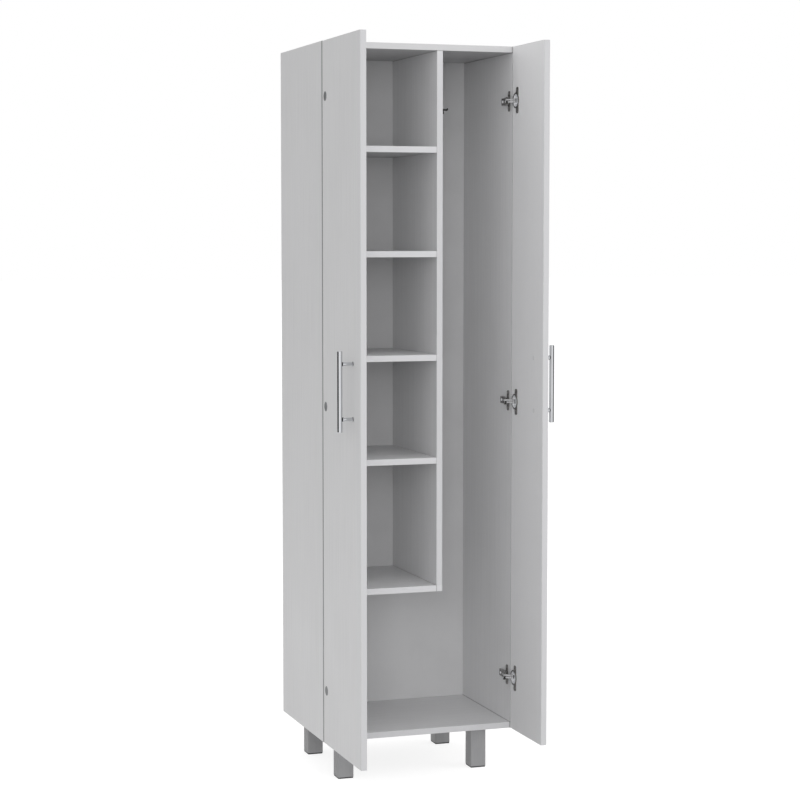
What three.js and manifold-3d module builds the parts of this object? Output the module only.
// A tall broom cupboard on four metal legs: a board carcass with a column of pigeonholes on the left,
// a full-height bay on the right, and two unequal doors that meet in front of the divider and hang on
// concealed cup hinges. Millimetres. X runs to the right, Y to the back, Z up, and the doors stand open.
import * as THREE from 'three'
import { mergeVertices } from 'three/addons/utils/BufferGeometryUtils.js'
import Module from 'manifold-3d'

const wasm = await Module()
wasm.setup()

// Carcass
const height = 1800
const width = 504
const depth = 366
const legHeight = 100
const board = 15
const dividerCentre = 48
const shelfCount = 4
const topBayHeight = 232.5
const shelfPitch = 254
const tallBayPitch = 318

// Back panel, held in a groove
const backThickness = 3
const backInset = 26
const grooveDepth = 5
const grooveClearance = 0.3

// Doors
const doorThickness = 15
const doorGap = 3
const openDoorGap = 3
const doorReveal = 1
const doorEndReveal = 1
const meetingGap = 3
const doorChamfer = 1
const openAngle = 90

// Handles
const handleLength = 188
const handleOverhang = 30
const handleDiameter = 12
const handleStandoff = 32
const handleInset = 57
const handleHeight = 977
const handleEndChamfer = 0.8
const postDiameter = 8
const postCollarDiameter = 10
const postCollarLength = 4
const postSpigotDiameter = 6
const postSpigotLength = 5
const handleStudDiameter = 4
const handleNutDiameter = 8
const handleNutHeight = 3
const handleNutSink = 1.5

// Hinges: where they stand
const hingeEndInset = 132
const middleHingeRise = 135.5
const cupEdgeDistance = 22.5

// Hinge cup, let into the door
const cupDiameter = 34.4
const cupDepth = 12
const cupWall = 1
const cupFloor = 1.2
const cupBossDiameter = 20
const cupMouthHalfHeight = 9
const cupSlotHalfHeight = 5.2
const cupSlotLength = 10
const cupNotchDepth = 7.5
const flangeThickness = 1.4
const flangeRim = 2
const flangeWingHeight = 64
const flangeWingWidth = 14
const flangeWingOffset = 9.5
const flangeCornerRadius = 5
const cupScrewPitch = 45
const cupScrewLength = 11

// Hinge arm and its mounting plate
const plateCoreHeight = 5.7
const plateCoreHalfWidth = 6.3
const plateCoreSetback = 31
const plateCoreLength = 38
const plateWingHeight = 50
const plateWingSetback = 18
const plateWingWidth = 12
const plateWingThickness = 2.2
const plateScrewPitch = 32
const plateScrewLength = 13
const armHalfWidth = 8.5
const armSheet = 1.5
const armLength = 54
const armNeckSetback = 18
const armKnuckleRadius = 2.6
const webEndShare = 0.6
const adjusterSetback = 34
const adjusterPitch = 20
const adjusterLength = 4.5

// Hinge links and pins
const shortPinInset = 12
const shortPinReach = 5
const longPinInset = 16
const longPinReach = 0.5
const shortCrank = 5.2
const longCrank = 5.1
const pinDiameter = 1.8
const cupPinGrip = 3
const linkWidth = 4
const linkGap = 0.7
const linkHalfThickness = 1.2
const linkEyeRadius = 1.9
const linkKnuckleRadius = 2.1
const linkBend = 4.5
const linkBendDrop = 0.2
const slotInward = 2.1
const slotOutward = 0.4
const slotSlack = 0.5

// Screws shared by hinges, legs and hooks
const screwDiameter = 3
const screwHeadDiameter = 6.4
const screwHeadHeight = 1.5

// Dowels
const dowelDiameter = 8
const dowelDepth = 9
const dowelEdgeDistance = 60

// Legs
const legSize = 40
const legWall = 2
const legTopPlate = 3
const leftLegInset = 43
const rightLegInset = 72
const frontLegSetback = 20
const rearLegSetback = 42
const glideHeight = 3
const glidePlugHeight = 12
const glideClearance = 0.4
const legScrewPitch = 20
const legScrewLength = 11

// Broom hooks
const hookPlateWidth = 14
const hookPlateHeight = 30
const hookPlateThickness = 2.5
const hookRodDiameter = 5
const hookReach = 17
const hookRise = 9
const hookDrop = 145
const frontHookSetback = 16
const rearHookSetback = 210
const hookScrewPitch = 18
const hookScrewLength = 9

// Fits
const fitClearance = 0.3
const seatGap = 0.3
const overrun = 5
const roundSides = 18
const boreSides = 10
const screwSides = 6
const arcSteps = 3
const cornerSteps = 2
const dowelSides = 8
const pinSides = 8
const handleSides = 14
const hookSteps = 8
const hookSides = 4

// Sizes worked out from the ones above
const innerHalf = width / 2 - board
const backFront = depth - backInset
const backEdge = backFront + backThickness
const dividerLeft = dividerCentre - board / 2
const dividerRight = dividerCentre + board / 2
const ceiling = height - board
const doorBottom = legHeight + doorEndReveal
const doorTop = height - doorEndReveal
const topShelfHeight = ceiling - topBayHeight
const shelfHeights = Array.from({ length: shelfCount }, (unused, i) => topShelfHeight - i * shelfPitch)
const lastShelfHeight = shelfHeights[shelfCount - 1]
const lowerShelfHeight = lastShelfHeight - tallBayPitch
const hingeHeights = [doorTop - hingeEndInset, lastShelfHeight + middleHingeRise, doorBottom + hingeEndInset]
const hookHeight = ceiling - hookDrop
const hingeNames = ['top', 'middle', 'bottom']
const left = -1
const right = 1
const doorWidths = {
  [left]: width / 2 - doorReveal + dividerCentre - meetingGap / 2,
  [right]: width / 2 - doorReveal - dividerCentre - meetingGap / 2,
}

// Hinge plan: u runs inwards from the side's outer face, v forwards from the carcass front.
const pivot = {
  u: (doorGap + doorThickness - openDoorGap + doorReveal) / 2,
  v: (doorGap + doorThickness + openDoorGap - doorReveal) / 2,
}
const shortPin = { u: board + shortPinInset, v: shortPinReach }
const longPin = { u: board + longPinInset, v: longPinReach }
const cupCentre = doorReveal + cupEdgeDistance
const handlePitch = handleLength - handleOverhang * 2
const cupScrewInset = cupCentre + flangeWingOffset
const webFace = board + plateCoreHeight + seatGap

const white = { color: 0xe2e3e4, roughness: 0.55, metalness: 0 }
const materials = {
  board: new THREE.MeshStandardMaterial(white),
  back: new THREE.MeshStandardMaterial({ color: 0xc9cacb, roughness: 0.7, metalness: 0 }),
  steel: new THREE.MeshStandardMaterial({ color: 0x9a9c9e, roughness: 0.35, metalness: 1 }),
  nickel: new THREE.MeshStandardMaterial({ color: 0xb4b5b6, roughness: 0.28, metalness: 1 }),
  zinc: new THREE.MeshStandardMaterial({ color: 0x8f9294, roughness: 0.45, metalness: 1 }),
  black: new THREE.MeshStandardMaterial({ color: 0x1b1b1d, roughness: 0.5, metalness: 0.6 }),
  plastic: new THREE.MeshStandardMaterial({ color: 0x2b2b2d, roughness: 0.6, metalness: 0 }),
}

function solid(geometry) {
  geometry.deleteAttribute('normal')
  geometry.deleteAttribute('uv')
  const merged = mergeVertices(geometry)
  return new wasm.Manifold(new wasm.Mesh({
    numProp: 3,
    vertProperties: new Float32Array(merged.attributes.position.array),
    triVerts: new Uint32Array(merged.index.array),
  }))
}

function toGeometry(manifold) {
  const mesh = manifold.getMesh()
  const geometry = new THREE.BufferGeometry()
  geometry.setAttribute('position', new THREE.BufferAttribute(new Float32Array(mesh.vertProperties), 3))
  geometry.setIndex(new THREE.BufferAttribute(new Uint32Array(mesh.triVerts), 1))
  geometry.computeVertexNormals()
  return geometry
}

function piece(parent, name, manifold, material) {
  const mesh = new THREE.Mesh(toGeometry(manifold), material)
  mesh.name = name
  parent.add(mesh)
}

function union(solids) {
  return solids.reduce((sum, next) => sum.add(next))
}

function block(x, y, z) {
  const geometry = new THREE.BoxGeometry(x[1] - x[0], y[1] - y[0], z[1] - z[0])
  return solid(geometry.translate((x[0] + x[1]) / 2, (y[0] + y[1]) / 2, (z[0] + z[1]) / 2))
}

// A round bar from one point to another.
function rod(from, to, diameter, sides = boreSides) {
  const start = new THREE.Vector3(...from)
  const line = new THREE.Vector3(...to).sub(start)
  const geometry = new THREE.CylinderGeometry(diameter / 2, diameter / 2, line.length(), sides)
  geometry.translate(0, line.length() / 2, 0)
  const heading = new THREE.Quaternion().setFromUnitVectors(new THREE.Vector3(0, 1, 0), line.normalize())
  geometry.applyQuaternion(heading)
  return solid(geometry.translate(...from))
}

// A turned piece: profile points are [radius, distance along], from the point `from` towards `to`.
function turned(from, to, profile, sides) {
  const geometry = new THREE.LatheGeometry(profile.map((p) => new THREE.Vector2(...p)), sides)
  const line = new THREE.Vector3(...to).sub(new THREE.Vector3(...from)).normalize()
  const heading = new THREE.Quaternion().setFromUnitVectors(new THREE.Vector3(0, 1, 0), line)
  geometry.applyQuaternion(heading)
  return solid(geometry.translate(...from))
}

// A screw whose head rests at `seat` and whose shank points towards `aim`.
function screw(seat, aim, length, headDiameter = screwHeadDiameter, headHeight = screwHeadHeight) {
  const radius = screwDiameter / 2
  const profile = [
    [0, -headHeight], [headDiameter / 2, -headHeight], [headDiameter / 2, 0],
    [radius, 0], [radius, length - radius], [0, length],
  ]
  return turned(seat, aim, profile, screwSides)
}

function screwHole(seat, aim, length) {
  const start = new THREE.Vector3(...seat)
  const line = new THREE.Vector3(...aim).sub(start).normalize()
  const from = start.clone().addScaledVector(line, -overrun)
  const to = start.clone().addScaledVector(line, length + fitClearance)
  return rod(from.toArray(), to.toArray(), screwDiameter + fitClearance * 2, screwSides)
}

function extruded(points, z) {
  const shape = new THREE.Shape(points.map((p) => new THREE.Vector2(...p)))
  const geometry = new THREE.ExtrudeGeometry(shape, { depth: z[1] - z[0], bevelEnabled: false })
  return solid(geometry.translate(0, 0, z[0]))
}

// Plan points of a hinge, from (u, v) to the cupboard's own X and Y.
function plan(side, p) {
  return [side * (width / 2 - p.u), -p.v]
}

// The same for what rides on a door: it is built about the door's pivot with the door closed.
function doorPlan(side, p) {
  return [side * (pivot.u - p.u), pivot.v - p.v]
}

function turnedAbout(centre, p, degrees) {
  const angle = THREE.MathUtils.degToRad(degrees)
  const du = p.u - centre.u
  const dv = p.v - centre.v
  return {
    u: centre.u + du * Math.cos(angle) - dv * Math.sin(angle),
    v: centre.v + du * Math.sin(angle) + dv * Math.cos(angle),
  }
}

// A pin in the cup that lies equally far from the arm's pin with the door closed and with it open.
function cupPin(armPin, crank) {
  const toArm = Math.atan2(armPin.v - pivot.v, armPin.u - pivot.u)
  const angle = toArm - THREE.MathUtils.degToRad(openAngle) / 2
  return { u: pivot.u + crank * Math.cos(angle), v: pivot.v + crank * Math.sin(angle) }
}

// A flat bar with round ends between two plan points.
function slotShape(a, b, radius) {
  const heading = Math.atan2(b.v - a.v, b.u - a.u)
  const points = []
  for (let i = 0; i <= arcSteps; i += 1) {
    const angle = heading - Math.PI / 2 + (Math.PI * i) / arcSteps
    points.push({ u: b.u + radius * Math.cos(angle), v: b.v + radius * Math.sin(angle) })
  }
  for (let i = 0; i <= arcSteps; i += 1) {
    const angle = heading + Math.PI / 2 + (Math.PI * i) / arcSteps
    points.push({ u: a.u + radius * Math.cos(angle), v: a.v + radius * Math.sin(angle) })
  }
  return points
}

function link(side, armPin, doorPin, z) {
  const open = turnedAbout(pivot, doorPin, openAngle)
  const length = Math.hypot(open.u - armPin.u, open.v - armPin.v)
  const along = { u: (open.u - armPin.u) / length, v: (open.v - armPin.v) / length }
  const inner = { u: open.u - along.u * slotInward, v: open.v - along.v * slotInward }
  const outer = { u: open.u + along.u * slotOutward, v: open.v + along.v * slotOutward }
  const bend = { u: open.u + linkBend, v: open.v - linkBendDrop }
  const bar = (a, b, radius, grow = 0) => {
    const points = slotShape(a, b, radius).map((p) => plan(side, p))
    return extruded(points, [z[0] - grow, z[1] + grow])
  }
  const knuckle = (diameter, sides, grow = 0) => {
    const centre = plan(side, armPin)
    return rod([...centre, z[0] - grow], [...centre, z[1] + grow], diameter, sides)
  }
  const body = union([
    bar(armPin, bend, linkHalfThickness),
    bar(bend, inner, linkHalfThickness),
    bar(inner, outer, linkEyeRadius),
    knuckle(linkKnuckleRadius * 2, boreSides),
  ])
  return body
    .subtract(bar(inner, outer, pinDiameter / 2 + slotSlack, overrun))
    .subtract(knuckle(pinDiameter + fitClearance, pinSides, overrun))
}

// Boards, joined by dowels that are glued into one board and enter blind holes in the next
const lowerShelfZ = [lowerShelfHeight - board, lowerShelfHeight]
const boards = {
  left_side_panel: block([-width / 2, -innerHalf], [0, depth], [legHeight, height]),
  right_side_panel: block([innerHalf, width / 2], [0, depth], [legHeight, height]),
  top_panel: block([-innerHalf, innerHalf], [0, depth], [ceiling, height]),
  bottom_panel: block([-innerHalf, innerHalf], [0, depth], [legHeight, legHeight + board]),
  lower_shelf: block([-innerHalf, dividerRight], [0, backFront], lowerShelfZ),
  divider_panel: block([dividerLeft, dividerRight], [0, backFront], [lowerShelfHeight, ceiling]),
}

function cut(name, tool) {
  boards[name] = boards[name].subtract(tool)
}

function vector(x, y, z) {
  return new THREE.Vector3(x, y, z)
}

const toLeft = vector(-1, 0, 0)
const toRight = vector(1, 0, 0)
const up = vector(0, 0, 1)
const down = vector(0, 0, -1)

// `end` is the middle of the joint, and `out` points from the board into its neighbour.
function dowelJoint(name, neighbour, end, out) {
  const point = (along) => end.clone().addScaledVector(out, along).toArray()
  const hole = rod(point(0), point(dowelDepth + fitClearance), dowelDiameter + fitClearance * 2, dowelSides)
  boards[name] = boards[name].add(rod(point(-dowelDiameter), point(dowelDepth), dowelDiameter, dowelSides))
  cut(neighbour, hole)
}

function joinBoards() {
  for (const y of [dowelEdgeDistance, backFront - dowelEdgeDistance]) {
    for (const [name, bottom] of [['top_panel', ceiling], ['bottom_panel', legHeight]]) {
      dowelJoint(name, 'left_side_panel', vector(-innerHalf, y, bottom + board / 2), toLeft)
      dowelJoint(name, 'right_side_panel', vector(innerHalf, y, bottom + board / 2), toRight)
    }
    dowelJoint('lower_shelf', 'left_side_panel', vector(-innerHalf, y, lowerShelfHeight - board / 2), toLeft)
    dowelJoint('divider_panel', 'top_panel', vector(dividerCentre, y, ceiling), up)
    dowelJoint('divider_panel', 'lower_shelf', vector(dividerCentre, y, lowerShelfHeight), down)
  }
  shelfHeights.forEach((top, i) => {
    const name = `shelf_${i + 1}`
    boards[name] = block([-innerHalf, dividerLeft], [0, backFront], [top - board, top])
    for (const y of [dowelEdgeDistance, backFront - dowelEdgeDistance]) {
      dowelJoint(name, 'left_side_panel', vector(-innerHalf, y, top - board / 2), toLeft)
      dowelJoint(name, 'divider_panel', vector(dividerLeft, y, top - board / 2), toRight)
    }
  })
}

function addBackPanel(parent) {
  const reach = innerHalf + grooveDepth
  const low = legHeight + board - grooveDepth
  const high = ceiling + grooveDepth
  const slack = grooveClearance
  const groove = block([-reach, reach], [backFront - slack, backEdge + slack], [low, high])
  for (const name of ['left_side_panel', 'right_side_panel', 'top_panel', 'bottom_panel']) cut(name, groove)
  const sheet = block([slack - reach, reach - slack], [backFront, backEdge], [low + slack, high - slack])
  piece(parent, 'back_panel', sheet, materials.back)
}

// Legs: square tubes closed by a screwed plate at the top, each with a plastic glide pushed in from below
function addLegs(parent) {
  const places = {
    front_left: [-width / 2 + leftLegInset, frontLegSetback],
    front_right: [width / 2 - rightLegInset - legSize, frontLegSetback],
    rear_left: [-width / 2 + leftLegInset, depth - rearLegSetback - legSize],
    rear_right: [width / 2 - rightLegInset - legSize, depth - rearLegSetback - legSize],
  }
  for (const [place, [x, y]] of Object.entries(places)) {
    const inset = (by, z) => block([x + by, x + legSize - by], [y + by, y + legSize - by], z)
    const hollow = inset(legWall, [glideHeight - overrun, legHeight - legTopPlate])
    let tube = inset(0, [glideHeight, legHeight]).subtract(hollow)
    for (const sx of [-1, 1]) {
      for (const sy of [-1, 1]) {
        const screwX = x + (legSize + sx * legScrewPitch) / 2
        const screwY = y + (legSize + sy * legScrewPitch) / 2
        const seat = [screwX, screwY, legHeight - legTopPlate]
        const aim = [screwX, screwY, height]
        tube = tube.add(screw(seat, aim, legScrewLength))
        cut('bottom_panel', screwHole(seat, aim, legScrewLength))
      }
    }
    const glide = inset(0, [0, glideHeight]).add(inset(legWall + glideClearance, [0, glidePlugHeight]))
    piece(parent, `${place}_leg`, tube, materials.steel)
    piece(parent, `${place}_leg_glide`, glide, materials.plastic)
  }
}

// Broom hooks on the divider's right face: a screwed plate with a bent rod
function addHooks(parent) {
  const plateFace = dividerRight + hookPlateThickness
  const tip = dividerRight + hookReach
  for (const [name, y] of [['front_broom_hook', frontHookSetback], ['rear_broom_hook', rearHookSetback]]) {
    const plateY = [y - hookPlateWidth / 2, y + hookPlateWidth / 2]
    const plateZ = [hookHeight - hookPlateHeight / 2, hookHeight + hookPlateHeight / 2]
    const curve = new THREE.QuadraticBezierCurve3(
      vector(dividerRight + hookPlateThickness / 2, y, hookHeight),
      vector(tip, y, hookHeight),
      vector(tip, y, hookHeight + hookRise),
    )
    const section = new THREE.Shape().absarc(0, 0, hookRodDiameter / 2, 0, Math.PI * 2)
    const sweep = { extrudePath: curve, steps: hookSteps, curveSegments: hookSides }
    const bent = new THREE.ExtrudeGeometry(section, sweep)
    let hook = block([dividerRight, plateFace], plateY, plateZ).add(solid(bent))
    for (const half of [-1, 1]) {
      const z = hookHeight + (half * hookScrewPitch) / 2
      const seat = [plateFace, y, z]
      const aim = [dividerLeft, y, z]
      hook = hook.add(screw(seat, aim, hookScrewLength))
      cut('divider_panel', screwHole(seat, aim, hookScrewLength))
    }
    piece(parent, name, hook, materials.black)
  }
}

// A block in a hinge's own plan directions
function hingeBlock(side, u, v, z) {
  const x = u.map((value) => side * (width / 2 - value)).sort((a, b) => a - b)
  const y = v.map((value) => -value).sort((a, b) => a - b)
  return block(x, y, z)
}

// The mounting plate: a cross of two wings, for its screws, and a core that the arm sits over
function hingePlate(side, z) {
  const wing = hingeBlock(
    side,
    [board, board + plateWingThickness],
    [-plateWingSetback - plateWingWidth / 2, -plateWingSetback + plateWingWidth / 2],
    [z - plateWingHeight / 2, z + plateWingHeight / 2],
  )
  const core = hingeBlock(
    side,
    [board, board + plateCoreHeight],
    [-plateCoreSetback - plateCoreLength / 2, -plateCoreSetback + plateCoreLength / 2],
    [z - plateCoreHalfWidth, z + plateCoreHalfWidth],
  )
  return wing.add(core)
}

// The arm: a channel of two cheeks and a web over the plate, narrowing to the knuckles at its nose
function hingeArm(side, z) {
  const rear = -armLength
  const neck = -armNeckSetback
  const inner = board + plateWingThickness + seatGap
  const outer = webFace + armSheet
  const r = armKnuckleRadius
  const nose = { u: longPin.u + r, v: longPin.v - r }
  const cheek = [
    { u: inner, v: rear }, { u: outer, v: rear }, { u: outer, v: neck }, nose,
    { u: longPin.u + r, v: longPin.v + r / 2 }, { u: shortPin.u + r, v: shortPin.v + r },
    { u: shortPin.u - r, v: shortPin.v + r }, { u: shortPin.u - r, v: shortPin.v - r },
    { u: inner, v: neck + r * 2 },
  ]
  const webEnd = {
    u: outer + (nose.u - outer) * webEndShare,
    v: neck + (nose.v - neck) * webEndShare,
  }
  const web = [
    { u: webFace, v: rear }, { u: outer, v: rear }, { u: outer, v: neck }, webEnd,
    { u: webEnd.u - armSheet, v: webEnd.v + armSheet }, { u: webFace, v: neck + armSheet / 2 },
  ]
  const sheet = (points, z0, z1) => extruded(points.map((p) => plan(side, p)), [z + z0, z + z1])
  const cheekInner = armHalfWidth - armSheet
  return union([
    sheet(cheek, -armHalfWidth, -cheekInner),
    sheet(cheek, cheekInner, armHalfWidth),
    sheet(web, -armHalfWidth, armHalfWidth),
  ])
}

// Both stub pins of an arm: the short link's below its middle, the long link's above
function armPins(side, z) {
  const short = plan(side, shortPin)
  const long = plan(side, longPin)
  return [
    rod([...short, z - armHalfWidth], [...short, z - linkGap], pinDiameter, pinSides),
    rod([...long, z + linkGap], [...long, z + armHalfWidth], pinDiameter, pinSides),
  ]
}

// The half of each hinge that stays on the carcass, and the two links that swing on its arm
function addHinge(parent, side, sideName, z, hingeName) {
  let plate = hingePlate(side, z)
  let arm = union([hingeArm(side, z), ...armPins(side, z)])
  for (const half of [-1, 1]) {
    const screwZ = z + (half * plateScrewPitch) / 2
    const seat = [...plan(side, { u: board + plateWingThickness, v: -plateWingSetback }), screwZ]
    const aim = [...plan(side, { u: 0, v: -plateWingSetback }), screwZ]
    plate = plate.add(screw(seat, aim, plateScrewLength))
    cut(`${sideName}_side_panel`, screwHole(seat, aim, plateScrewLength))

    const v = -adjusterSetback + (half * adjusterPitch) / 2
    const adjusterSeat = [...plan(side, { u: webFace + armSheet, v }), z]
    const adjusterAim = [...plan(side, { u: board, v }), z]
    arm = arm.add(screw(adjusterSeat, adjusterAim, adjusterLength))
    plate = plate.subtract(screwHole(adjusterSeat, adjusterAim, adjusterLength))
  }
  const prefix = `${hingeName}_${sideName}`
  const shortLink = link(side, shortPin, cupPin(shortPin, shortCrank), [z - linkGap - linkWidth, z - linkGap])
  const longLink = link(side, longPin, cupPin(longPin, longCrank), [z + linkGap, z + linkGap + linkWidth])
  piece(parent, `${prefix}_hinge_plate`, plate, materials.nickel)
  piece(parent, `${prefix}_hinge_arm`, arm, materials.nickel)
  piece(parent, `${prefix}_short_link`, shortLink, materials.zinc)
  piece(parent, `${prefix}_long_link`, longLink, materials.zinc)
}

function roundedRectangle(centre, size, radius) {
  const points = []
  const corners = [[1, 1], [-1, 1], [-1, -1], [1, -1]]
  corners.forEach(([sx, sy], quarter) => {
    for (let i = 0; i <= cornerSteps; i += 1) {
      const angle = ((quarter + i / cornerSteps) * Math.PI) / 2
      points.push([
        centre[0] + sx * (size[0] / 2 - radius) + radius * Math.cos(angle),
        centre[1] + sy * (size[1] / 2 - radius) + radius * Math.sin(angle),
      ])
    }
  })
  return points
}

// A flat plate in the door's plane: the outline is in X and Z
function upright(points, y) {
  const shape = new THREE.Shape(points.map((p) => new THREE.Vector2(...p)))
  const geometry = new THREE.ExtrudeGeometry(shape, { depth: y[1] - y[0], bevelEnabled: false })
  return solid(geometry.rotateX(Math.PI / 2).translate(0, y[1], 0))
}

// The cup: a deep round pan with a flange, winged for its screws, a mouth, and a slot for the links
function hingeCup(side, z) {
  const at = (u, v, dz = 0) => [...doorPlan(side, { u, v }), z + dz]
  const flangeBack = doorGap - seatGap
  const flangeFront = flangeBack - flangeThickness
  const bottom = doorGap + cupDepth
  const wingCentre = [doorPlan(side, { u: cupScrewInset, v: 0 })[0], z]
  const wing = roundedRectangle(wingCentre, [flangeWingWidth, flangeWingHeight], flangeCornerRadius)
  const bossEnd = doorGap + doorThickness - seatGap
  const outside = union([
    rod(at(cupCentre, flangeFront), at(cupCentre, bottom), cupDiameter, roundSides),
    rod(at(cupCentre, flangeFront), at(cupCentre, flangeBack), cupDiameter + flangeRim * 2, roundSides),
    upright(wing, [pivot.v - flangeBack, pivot.v - flangeFront]),
    rod(at(cupCentre, bottom - cupFloor), at(cupCentre, bossEnd), cupBossDiameter, roundSides),
  ])
  const mouthHalf = Math.sqrt((cupDiameter / 2 - cupWall) ** 2 - cupMouthHalfHeight ** 2)
  const slotStart = cupCentre - Math.sqrt((cupDiameter / 2) ** 2 - cupSlotHalfHeight ** 2) + cupWall
  const hollow = (u, half) => {
    const x = u.map((value) => doorPlan(side, { u: value, v: 0 })[0]).sort((a, b) => a - b)
    return block(x, [pivot.v - bottom + cupFloor, pivot.v - flangeFront + overrun], [z - half, z + half])
  }
  const mouthStart = Math.max(slotStart + cupSlotLength, cupCentre - mouthHalf)
  const notch = block(
    [cupCentre - cupDiameter, cupCentre].map((u) => doorPlan(side, { u, v: 0 })[0]).sort((a, b) => a - b),
    [pivot.v - doorGap - cupNotchDepth, pivot.v - flangeFront + overrun],
    [z - cupSlotHalfHeight, z + cupSlotHalfHeight],
  )
  return outside
    .subtract(hollow([mouthStart, cupCentre + mouthHalf], cupMouthHalfHeight))
    .subtract(hollow([slotStart, cupCentre], cupSlotHalfHeight))
    .subtract(notch)
}

function cupPins(side, z) {
  const short = doorPlan(side, cupPin(shortPin, shortCrank))
  const long = doorPlan(side, cupPin(longPin, longCrank))
  const far = cupSlotHalfHeight + cupPinGrip
  return [
    rod([...short, z - far], [...short, z - linkGap], pinDiameter, pinSides),
    rod([...long, z + linkGap], [...long, z + far], pinDiameter, pinSides),
  ]
}

function doorSlab(side) {
  const near = doorReveal
  const far = doorReveal + doorWidths[side]
  const inner = doorGap
  const outer = doorGap + doorThickness
  const c = doorChamfer
  const outline = [
    { u: near + c, v: inner }, { u: far - c, v: inner }, { u: far, v: inner + c }, { u: far, v: outer - c },
    { u: far - c, v: outer }, { u: near + c, v: outer }, { u: near, v: outer - c }, { u: near, v: inner + c },
  ]
  return extruded(outline.map((p) => doorPlan(side, p)), [doorBottom, doorTop])
}

function addDoor(parent, side, sideName) {
  const group = new THREE.Group()
  group.position.set(...plan(side, pivot), 0)
  group.rotation.z = side * THREE.MathUtils.degToRad(openAngle)
  parent.add(group)
  const inner = doorGap
  const outer = doorGap + doorThickness
  const bore = cupDiameter + fitClearance * 2
  const boreEnd = inner + cupDepth + fitClearance
  const bossBore = cupBossDiameter + fitClearance * 2
  let slab = doorSlab(side)
  hingeHeights.forEach((z, i) => {
    const at = (u, v, dz = 0) => [...doorPlan(side, { u, v }), z + dz]
    let cup = union([hingeCup(side, z), ...cupPins(side, z)])
    slab = slab
      .subtract(rod(at(cupCentre, inner - overrun), at(cupCentre, boreEnd), bore, roundSides))
      .subtract(rod(at(cupCentre, inner), at(cupCentre, outer + overrun), bossBore, roundSides))
    for (const half of [-1, 1]) {
      const dz = (half * cupScrewPitch) / 2
      const seat = at(cupScrewInset, inner - seatGap - flangeThickness, dz)
      const aim = at(cupScrewInset, outer, dz)
      cup = cup.add(screw(seat, aim, cupScrewLength))
      slab = slab.subtract(screwHole(seat, aim, cupScrewLength))
    }
    piece(group, `${hingeNames[i]}_${sideName}_hinge_cup`, cup, materials.nickel)
  })
  slab = addHandle(group, side, sideName, slab)
  piece(group, `${sideName}_door`, slab, materials.board)
}

// The handle on the door's outer face: a bar on two posts, each with a stud through the door and a sunk nut
function addHandle(group, side, sideName, door) {
  const u = doorReveal + doorWidths[side] - handleInset
  const at = (v, z) => [...doorPlan(side, { u, v }), z]
  const inner = doorGap
  const outer = doorGap + doorThickness
  const barV = outer + handleStandoff
  const c = handleEndChamfer
  const r = handleDiameter / 2
  const bottom = handleHeight - handleLength / 2
  const barProfile = [
    [0, 0], [r - c, 0], [r, c], [r, handleLength - c], [r - c, handleLength], [0, handleLength],
  ]
  const barEnds = [at(barV, bottom), at(barV, bottom + handleLength)]
  let bar = turned(...barEnds, barProfile, handleSides)
  const cradle = rod(...barEnds, handleDiameter + fitClearance * 2, handleSides)
  let slab = door
  for (const [half, place] of [[-1, 'lower'], [1, 'upper']]) {
    const z = handleHeight + (half * handlePitch) / 2
    const root = outer + seatGap
    const stem = handleStandoff - seatGap
    const spigot = stem - r + postSpigotLength
    const socketEnd = root + spigot + fitClearance
    const nutFace = inner + handleNutSink
    const stud = handleStudDiameter
    const recess = handleNutDiameter + fitClearance * 2
    const post = turned(at(root, z), at(barV, z), [
      [0, 0], [postCollarDiameter / 2, 0], [postCollarDiameter / 2, postCollarLength / 2],
      [postDiameter / 2, postCollarLength], [postDiameter / 2, stem - r - postCollarLength],
      [postCollarDiameter / 2, stem - r - postCollarLength / 2], [postCollarDiameter / 2, stem], [0, stem],
    ], boreSides)
    const whole = post
      .subtract(cradle)
      .add(rod(at(root, z), at(root + spigot, z), postSpigotDiameter, boreSides))
      .add(rod(at(nutFace, z), at(root + postCollarLength, z), stud, boreSides))
      .add(rod(at(nutFace, z), at(nutFace + handleNutHeight, z), handleNutDiameter, boreSides))
    const nutSeat = nutFace + handleNutHeight + fitClearance
    bar = bar.subtract(rod(at(outer, z), at(socketEnd, z), postSpigotDiameter + fitClearance * 2, boreSides))
    slab = slab
      .subtract(rod(at(inner, z), at(outer + overrun, z), stud + fitClearance * 2, boreSides))
      .subtract(rod(at(inner - overrun, z), at(nutSeat, z), recess, boreSides))
    piece(group, `${sideName}_handle_${place}_post`, whole, materials.steel)
  }
  piece(group, `${sideName}_handle_bar`, bar, materials.steel)
  return slab
}

const cupboard = new THREE.Group()
joinBoards()
addBackPanel(cupboard)
addLegs(cupboard)
addHooks(cupboard)
for (const [side, sideName] of [[left, 'left'], [right, 'right']]) {
  hingeHeights.forEach((z, i) => addHinge(cupboard, side, sideName, z, hingeNames[i]))
  addDoor(cupboard, side, sideName)
}
for (const [name, shape] of Object.entries(boards)) piece(cupboard, name, shape, materials.board)

// The origin is the middle of the base of the whole cupboard, its open doors included
const extent = new THREE.Box3().setFromObject(cupboard, true)
cupboard.position.set(-(extent.min.x + extent.max.x) / 2, -(extent.min.y + extent.max.y) / 2, -extent.min.z)
cupboard.updateMatrixWorld(true)

export default cupboard
